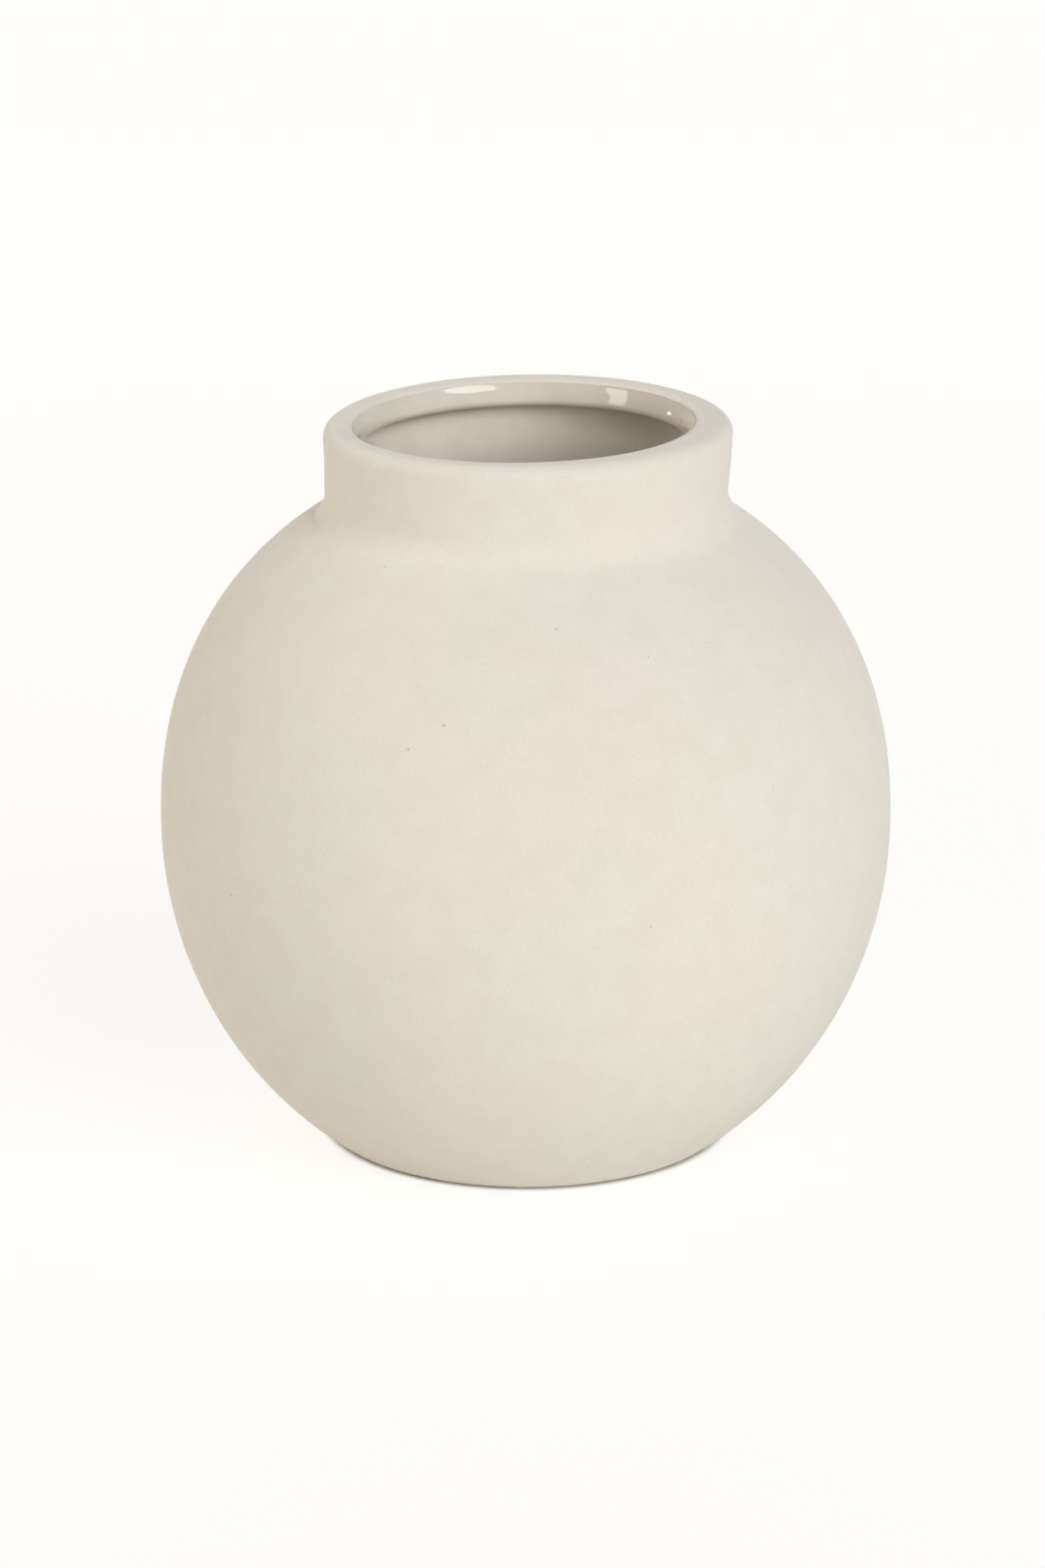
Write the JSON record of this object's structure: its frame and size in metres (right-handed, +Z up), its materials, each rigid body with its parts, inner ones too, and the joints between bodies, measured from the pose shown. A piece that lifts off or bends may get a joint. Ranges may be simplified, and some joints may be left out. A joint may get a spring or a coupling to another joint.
{
  "type": "vase",
  "caption": "Globe-shaped stoneware vase with a low foot ring, a short upright collar, a thick undercut rim and a glazed inside, for cut stems and water.",
  "frame": {"origin": "centre of the standing circle, level with the table", "axes": "+Z up along the vase's turned axis, -Y towards the viewer of the picture, +X to their right"},
  "size_m": [0.18, 0.18, 0.18],
  "materials": {
    "matt_clay": "matt, fine-grained, off-white",
    "slip": "matt, sponged smooth",
    "foot_clay": "matt, bare and slightly rubbed",
    "gloss_glaze": "gloss, off-white"
  },
  "bodies": {
    "root": {"belly": "matt_clay", "collar": "matt_clay", "collar_slip_joint": "slip", "foot_ring": "foot_clay", "foot_slip_joint": "slip", "liner_glaze": "gloss_glaze"}
  },
  "joints": []
}
